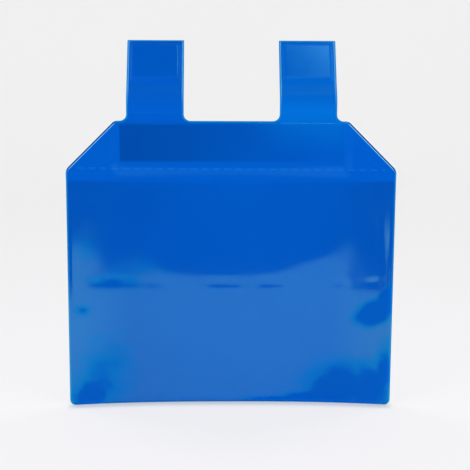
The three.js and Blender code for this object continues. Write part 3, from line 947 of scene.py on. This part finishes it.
# Front edge of the paper on the floor, in metres from left to right, as the film mirrors it
FLOOR_EDGE = [
    (-FLOOR_HALF, -0.88), (-0.56, -0.88), (-0.50, -0.96), (-0.44, -1.0), (-0.385, -0.90),
    (-0.345, -0.82), (-0.305, -0.74), (-0.28, -0.68), (-0.25, -0.65), (-0.215, -0.68), (-0.19, -0.662),
    (-0.128, -0.575), (-0.07, -0.522), (-0.02, -0.50), (0.02, -0.502), (0.06, -0.52), (0.11, -0.56),
    (0.16, -0.62), (0.215, -0.69), (0.262, -0.745), (0.305, -0.80), (0.335, -0.84), (0.326, -0.77),
    (0.308, -0.725), (0.283, -0.68), (0.260, -0.61), (0.240, -0.55), (0.226, -0.512), (0.236, -0.497),
    (0.252, -0.503), (0.270, -0.52), (0.30, -0.55), (0.42, -0.62), (0.50, -0.76), (0.56, -1.2),
    (FLOOR_HALF, -1.2),
]

# The paper's colours, and where it gets paler and ends, by y in metres
PAPER_FIBRE, PAPER_FIBRE_PALE = (0.80, 0.80, 0.81, 1), (0.82, 0.82, 0.83, 1)
PAPER_BACK, PAPER_FRONT, PAPER_GLOW = (0.895, 0.895, 0.9, 1), (0.99, 0.985, 1.0, 1), 0.75
PAPER_NEAR, PAPER_ENDS = (-0.15, 0.9, 1.0, 0.0), (-0.48, -0.2, 1.0, 0.0)
ROOM = (0.88, 0.88, 0.89, 1)
# Painted shade: a patch of the paper that the film mirrors darker, by x and then by y in metres
DIM_FROM, DIM_TO, DIM_DEPTH = (-0.31, -0.26), (-0.16, -0.1, 1.0, 0.0), (-0.68, -0.5, 0.8, 0.0)
# Shade at the object's foot, by the distance from it in metres and by x over half the object's width
FOOT_SHADE, FOOT_ENDS = (0.0, 0.02, 1.0, 0.0), (0.97, 1.04, 1.0, 0.0)
# the glow kept at the foot, and the painted blue tint of the paper there
FOOT_GLOW, FOOT_PAINTED_BLUE = 0.3, (0.60, 0.75, 0.84, 1)


def seen(tree):
    """1 for rays that show the surroundings to the camera, straight or by way of the object."""
    rays = add(tree, "ShaderNodeLightPath").outputs
    mirrored = maths(tree, "MAXIMUM", rays["Is Glossy Ray"], rays["Is Transmission Ray"])
    return maths(tree, "MAXIMUM", rays["Is Camera Ray"], mirrored)


def studio_paper():
    """Pale paper that takes the object's light and shadow, and shows mostly as plain white."""
    material, tree = graph("studio_paper")
    vector = add(tree, "ShaderNodeTexCoord").outputs["Object"]
    x, y, _ = add(tree, "ShaderNodeSeparateXYZ", {0: vector}).outputs
    fibre = ramp(tree, noise(tree, vector, 3.0, 3.0), 0.3, 0.7)
    colour = mix(tree, fibre, PAPER_FIBRE, PAPER_FIBRE_PALE)
    painted_dim = product(
        tree, ramp(tree, x, *DIM_FROM), ramp(tree, x, *DIM_TO), ramp(tree, y, *DIM_DEPTH)
    )
    # painted shade, seen only where the film mirrors the paper
    mirrored = add(tree, "ShaderNodeLightPath").outputs["Is Glossy Ray"]
    glow = maths(tree, "SUBTRACT", 1.0, product(tree, painted_dim, mirrored))
    pale = mix(tree, ramp(tree, y, *PAPER_NEAR), PAPER_BACK, PAPER_FRONT)
    white = add(tree, "ShaderNodeEmission", {"Color": pale, "Strength": glow})
    # close to the object's foot the paper shows more of its shadow, under a painted blue tint for
    # light through the sheet
    along = maths(tree, "DIVIDE", maths(tree, "ABSOLUTE", x), HALF_WIDTH * MM)
    curled = product(tree, maths(tree, "POWER", along, BOW_POWER), BOTTOM_BOW * MM)
    gap = maths(tree, "ABSOLUTE", maths(tree, "ADD", y, curled))
    at_foot = product(tree, ramp(tree, gap, *FOOT_SHADE), ramp(tree, along, *FOOT_ENDS))
    glowing = ramp(tree, at_foot, 0.0, 1.0, PAPER_GLOW, FOOT_GLOW)
    share = product(tree, seen(tree), glowing)
    lit = add(tree, "ShaderNodeBsdfDiffuse", {0: mix(tree, at_foot, colour, FOOT_PAINTED_BLUE)})
    surface = add(tree, "ShaderNodeMixShader", {0: share, 1: lit.outputs[0], 2: white.outputs[0]})
    # further forward it goes over into the plain surroundings, so that its edge isn't seen
    camera_ray = add(tree, "ShaderNodeLightPath").outputs["Is Camera Ray"]
    past = product(tree, camera_ray, ramp(tree, y, *PAPER_ENDS))
    room = add(tree, "ShaderNodeEmission", {"Color": ROOM})
    surface = add(tree, "ShaderNodeMixShader", {0: past, 1: surface.outputs[0], 2: room.outputs[0]})
    add(tree, "ShaderNodeOutputMaterial", {"Surface": surface.outputs[0]})
    return material


def studio_floor():
    """A pale sweep of paper: level under the object, and curving up into the backdrop behind it."""
    floor_z = BOTTOM * MM
    profile = [(0.1, floor_z), (0.6, floor_z)]
    profile += [
        (FLOOR_BEND + FLOOR_RADIUS * sin(a), floor_z + FLOOR_RADIUS * (1 - cos(a)))
        for a in np.linspace(0, radians(90), 25)
    ]
    profile.append((FLOOR_BEND + FLOOR_RADIUS, WALL_TOP))
    points = [(side * FLOOR_HALF, y, z) for y, z in profile for side in (-1, 1)]
    faces = [(2 * i, 2 * i + 1, 2 * i + 3, 2 * i + 2) for i in range(len(profile) - 1)]
    first = len(points)
    points += [(x, y, floor_z) for x, y in FLOOR_EDGE]
    faces.append((0, *range(first, len(points)), 1))
    mesh = bpy.data.meshes.new("studio_sweep")
    mesh.from_pydata(points, [], faces)
    mesh.polygons.foreach_set("use_smooth", np.ones(len(faces), bool))
    mesh.materials.append(studio_paper())
    sweep = bpy.data.objects.new("studio_sweep", mesh)
    bpy.context.scene.collection.objects.link(sweep)


# The room's brightness over dx, dy and dz, the parts of a direction of length 1
SIDE_WALLS = (0.6, 0.82, 0.0, 0.9)
BACK_WALL, BACK_WALL_FADES = (0.2, 0.6, 0.0, 0.5), (0.5, 0.85, 1.0, 0.2)
CORNER_FROM, CORNER_TO = (0.098, 0.13, 0.0, 8.5), (0.16, 0.22, 1.0, 0.0)
CORNER_LEAN = (0.835, 0.88, 0.0, 0.06)
CORNER_FOOT, CORNER_HEAD = (0.83, 0.84), (0.88, 0.91, 1.0, 0.0)
IN_FRONT = (-0.3, -0.1, 1.0, 0.0)
DARK_ROOM = 0.01


def world_light():
    """Pale walls behind and at both sides, a dark room in front, and a bright corner at the upper
    right."""
    world = bpy.data.worlds.new("studio_world")
    world.use_nodes = True
    tree = world.node_tree
    tree.nodes.clear()
    direction = add(tree, "ShaderNodeTexCoord").outputs["Generated"]
    dx, dy, dz = add(tree, "ShaderNodeSeparateXYZ", {0: direction}).outputs
    sides = ramp(tree, maths(tree, "ABSOLUTE", dx), *SIDE_WALLS)
    behind = product(tree, ramp(tree, dy, *BACK_WALL), ramp(tree, dz, *BACK_WALL_FADES))
    bright = product(
        tree,
        ramp(tree, maths(tree, "ADD", dx, ramp(tree, dz, *CORNER_LEAN)), *CORNER_FROM),
        ramp(tree, dx, *CORNER_TO),
        ramp(tree, dz, *CORNER_FOOT),
        ramp(tree, dz, *CORNER_HEAD),
        ramp(tree, dy, *IN_FRONT),
    )
    room = maths(tree, "MAXIMUM", maths(tree, "MAXIMUM", sides, behind), bright)
    room = maths(tree, "ADD", room, DARK_ROOM)
    camera_ray = add(tree, "ShaderNodeLightPath").outputs["Is Camera Ray"]
    colour = mix(tree, camera_ray, (1, 1, 1, 1), ROOM)
    strength = maths(
        tree, "ADD", product(tree, room, maths(tree, "SUBTRACT", 1.0, camera_ray)), camera_ray
    )
    background = add(tree, "ShaderNodeBackground", {"Color": colour, "Strength": strength})
    add(tree, "ShaderNodeOutputWorld", {"Surface": background.outputs[0]})
    bpy.context.scene.world = world


def lamp(name, place, aim, size, power):
    """A softbox that lights the object and isn't mirrored by it."""
    data = bpy.data.lights.new(name, "AREA")
    data.shape, data.size, data.size_y, data.energy = "RECTANGLE", size[0], size[1], power
    softbox = bpy.data.objects.new(name, data)
    softbox.location = place
    softbox.visible_glossy = False
    softbox.rotation_euler = (Vector(aim) - Vector(place)).to_track_quat("-Z", "Y").to_euler()
    bpy.context.scene.collection.objects.link(softbox)


studio_floor()
world_light()
lamp("right_front_softbox", (1.6, -1.8, 0.45), (0, 0, -0.1), (0.9, 0.9), 25.8)
lamp("left_front_softbox", (-1.6, -1.8, 0.45), (0, 0, -0.1), (0.9, 0.9), 24.8)
lamp("right_side_softbox", (2.0, -0.5, 0.5), (0, 0, 0), (0.6, 1.2), 10.4)
lamp("left_side_softbox", (-2.0, -0.5, 0.5), (0, 0, 0), (0.6, 1.2), 10.4)
lamp("right_back_softbox", (1.3, 1.0, 1.6), (0.2, 0.2, -0.1), (0.7, 0.7), 13.3)
lamp("left_back_softbox", (-1.3, 1.0, 1.6), (-0.2, 0.2, -0.1), (0.7, 0.7), 13.3)

bpy.context.scene.view_settings.view_transform = "Standard"

# The camera, at the photograph's place: found by fitting the outline's corners to the picture
CAMERA_PLACE = (-22.0, -1213.1, 196.8)
CAMERA_YAW, CAMERA_PITCH, CAMERA_ROLL = radians(1.219), radians(13.358), radians(0.369)
FOCAL_PIXELS, PICTURE_PIXELS, SENSOR = 1273.4, 470, 36.0


def photograph_camera():
    data = bpy.data.cameras.new("camera")
    data.sensor_width = SENSOR
    data.lens = SENSOR * FOCAL_PIXELS / PICTURE_PIXELS
    data.clip_start, data.clip_end = 0.05, 50
    camera = bpy.data.objects.new("camera", data)
    ahead = Vector(
        (sin(CAMERA_YAW) * cos(CAMERA_PITCH), cos(CAMERA_YAW) * cos(CAMERA_PITCH), -sin(CAMERA_PITCH))
    )
    level = Vector((cos(CAMERA_YAW), -sin(CAMERA_YAW), 0))
    up = level.cross(ahead)
    right = level * cos(CAMERA_ROLL) + up * sin(CAMERA_ROLL)
    axes = Matrix((right, right.cross(ahead), -ahead)).transposed()
    camera.matrix_world = Matrix.Translation(Vector(CAMERA_PLACE) * MM) @ axes.to_4x4()
    bpy.context.scene.collection.objects.link(camera)
    bpy.context.scene.camera = camera


photograph_camera()
